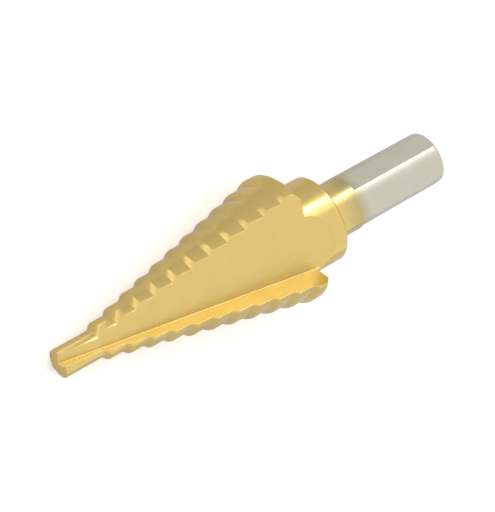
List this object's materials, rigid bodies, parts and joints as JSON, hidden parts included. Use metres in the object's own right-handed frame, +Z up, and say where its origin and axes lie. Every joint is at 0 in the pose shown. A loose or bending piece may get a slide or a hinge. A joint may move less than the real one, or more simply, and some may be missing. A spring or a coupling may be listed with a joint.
{
  "type": "step drill",
  "caption": "Conical stepped drill for sheet metal, with straight V flutes, a drill point, a collar and a shank with drive flats.",
  "frame": {"origin": "middle of the bounding box's base, on the surface that the drill lies on", "axes": "+X along the drill from its point to its shank end, +Z up, with one flute facing up and the other one down"},
  "size_m": [0.0762, 0.0222, 0.0167],
  "materials": {
    "tool_steel": "golden titanium nitride coating on ground high-speed steel, with the rear of the shank left bare"
  },
  "bodies": {
    "root": {"step_drill": "tool_steel"}
  },
  "joints": []
}
